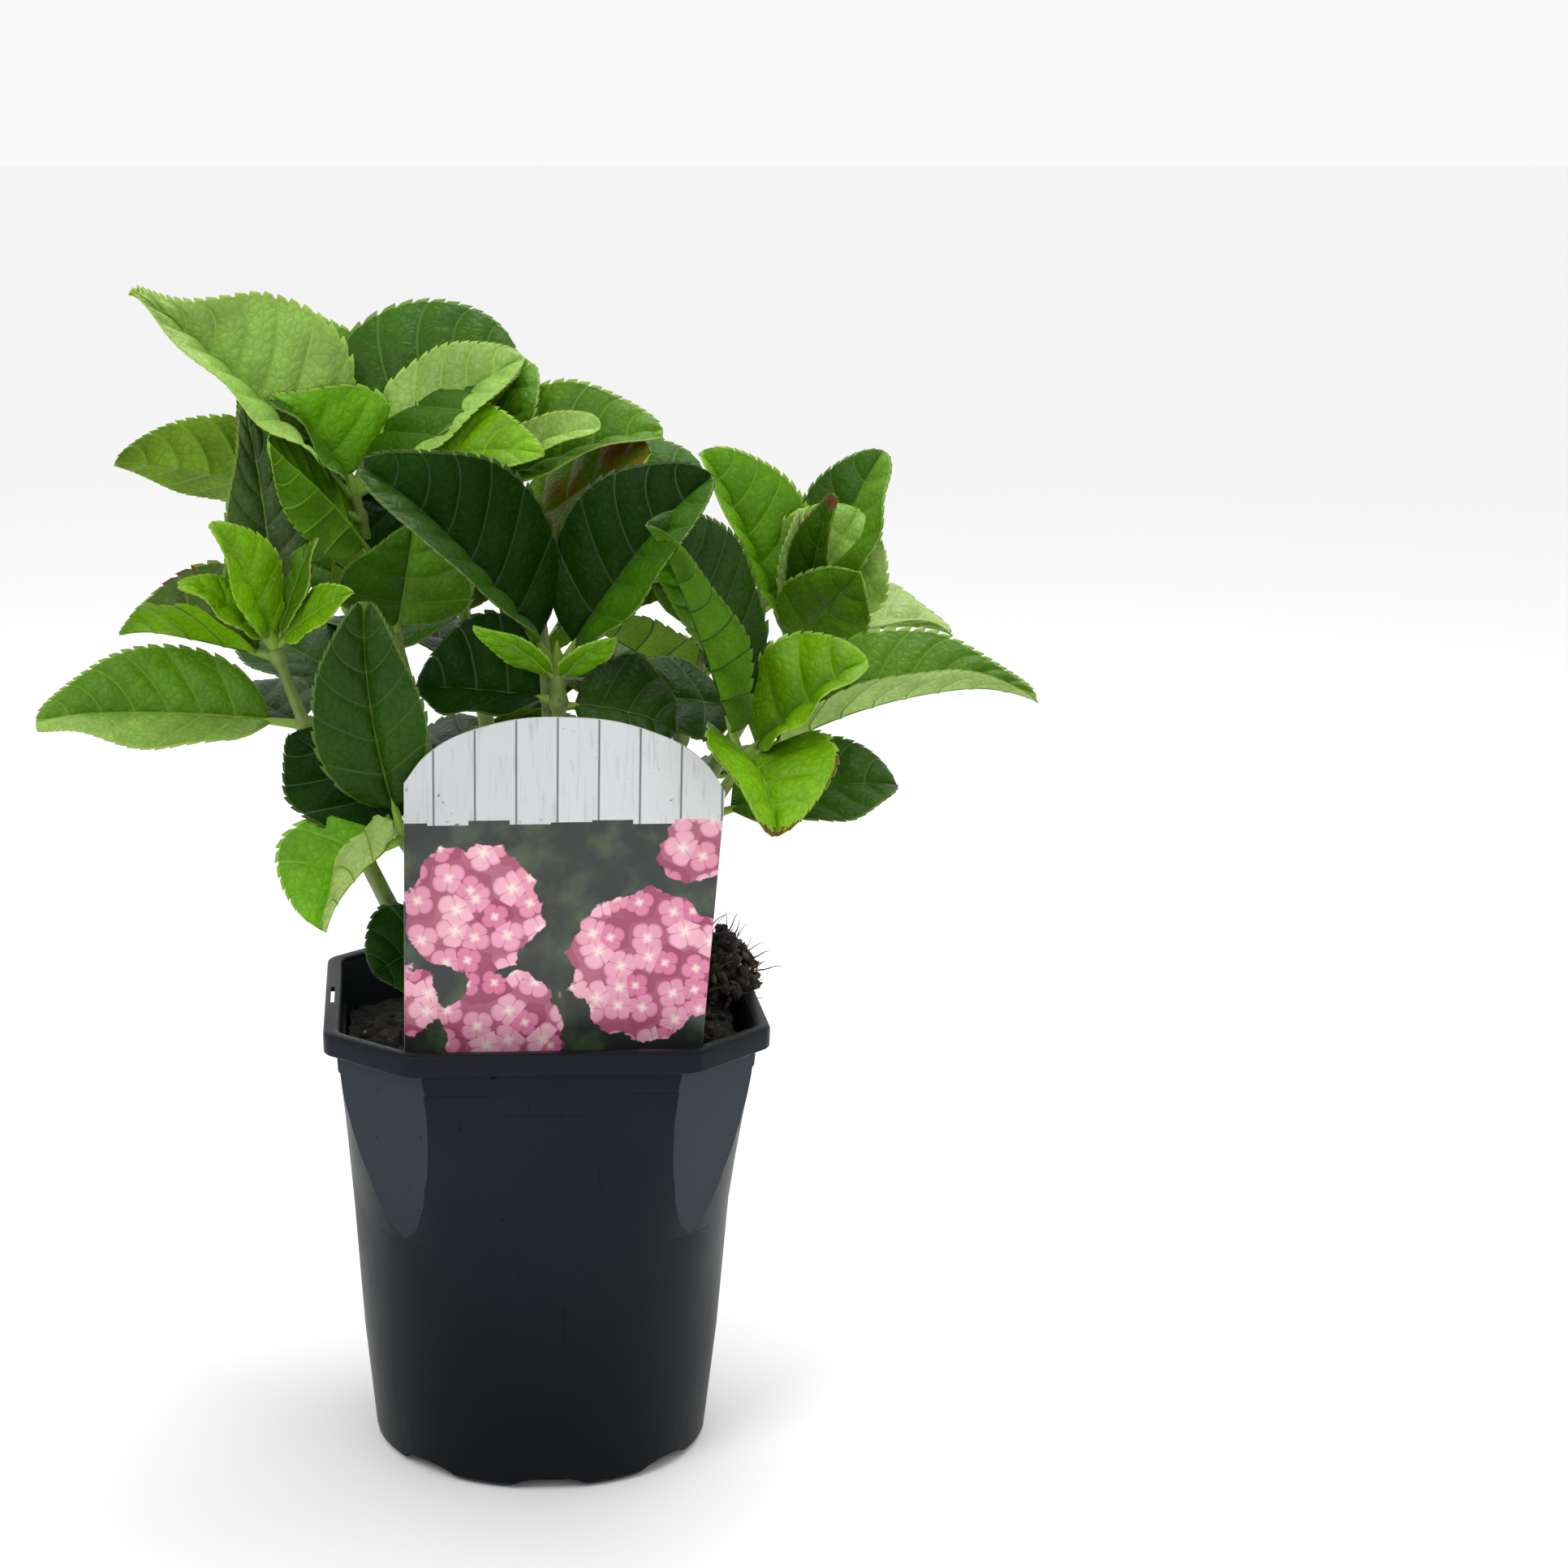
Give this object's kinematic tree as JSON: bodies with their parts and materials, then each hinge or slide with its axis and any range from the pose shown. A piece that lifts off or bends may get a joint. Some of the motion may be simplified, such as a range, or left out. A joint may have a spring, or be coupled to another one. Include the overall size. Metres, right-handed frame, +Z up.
{
  "type": "hydrangea shrub",
  "caption": "Young leafy hydrangea shrub in a square-rimmed nursery pot, with canes rising from the soil to leaf masses and an upright label card at the front.",
  "frame": {"origin": "centre of the pot's flat underside", "axes": "+Z up along the pot's axis; +Y from the label card to the back; +X to the right seen from the card"},
  "size_m": [0.309, 0.2317, 0.3826],
  "materials": {
    "pot": "satin",
    "soil": "rough",
    "card": "printed",
    "cane": "rough",
    "leaf": "satin"
  },
  "bodies": {
    "root": {"pot": "pot", "soil": "soil", "label_card": "card", "cane_upper_left": "cane", "cane_left": "cane", "cane_low_left": "cane", "cane_top": "cane", "cane_top_right": "cane", "cane_centre": "cane", "cane_right": "cane", "cane_upper_right": "cane", "cane_far_left": "cane", "cane_far_middle": "cane", "cane_far_right": "cane", "mass_upper_left": "leaf", "mass_left": "leaf", "mass_low_left": "leaf", "mass_top": "leaf", "mass_top_right": "leaf", "mass_centre": "leaf", "mass_right": "leaf", "mass_upper_right": "leaf", "mass_far_left": "leaf", "mass_far_middle": "leaf", "mass_far_right": "leaf"}
  },
  "joints": []
}
